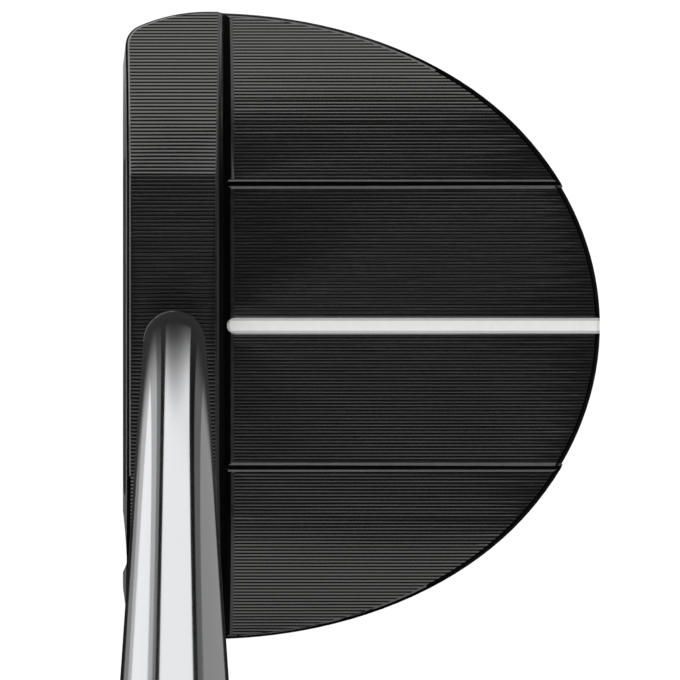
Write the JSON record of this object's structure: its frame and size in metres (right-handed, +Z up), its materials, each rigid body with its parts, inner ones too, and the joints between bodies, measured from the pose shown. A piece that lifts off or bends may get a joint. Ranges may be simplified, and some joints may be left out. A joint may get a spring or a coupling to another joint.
{
  "type": "mallet putter",
  "caption": "Right-handed mallet putter: milled half-moon head with raised wings and a sightline, on a bent stepped steel shaft with a flat-fronted grip.",
  "frame": {"origin": "centre of the flat patch of the sole, where the head stands on the ground", "axes": "+Z up, -Y out of the face towards the target line, +X from toe to heel"},
  "size_m": [0.3412, 0.085, 0.8225],
  "materials": {
    "black_milled": "black anodised, milled in fine parallel lines",
    "white_enamel": "satin white fill",
    "face_metal": "fine milled",
    "bond": "cured epoxy",
    "stainless": "bead blasted",
    "screw_steel": "black oxide",
    "elastomer": "matte",
    "weight_steel": "turned",
    "seal_rubber": "matte",
    "bush_steel": "machined",
    "chrome_shaft": "bright chrome plate on steel tube",
    "plug_plastic": "moulded",
    "band_film": "plain film",
    "tape_cloth": "woven tape",
    "grip_rubber": "moulded, finely ribbed",
    "cap_rubber": "moulded"
  },
  "bodies": {
    "root": {"head_body": "black_milled", "sightline_inlay": "white_enamel", "face_insert": "face_metal", "face_adhesive": "bond", "sole_plate": "stainless", "sole_plate_screws": "screw_steel", "cavity_damper": "elastomer", "toe_weight": "weight_steel", "heel_weight": "weight_steel", "toe_weight_seal": "seal_rubber", "heel_weight_seal": "seal_rubber", "toe_weight_bush": "bush_steel", "heel_weight_bush": "bush_steel", "shaft": "chrome_shaft", "shaft_epoxy": "bond", "shaft_tip_plug": "plug_plastic", "shaft_band": "band_film", "grip_tape": "tape_cloth", "grip": "grip_rubber", "grip_cap": "cap_rubber"}
  },
  "joints": []
}
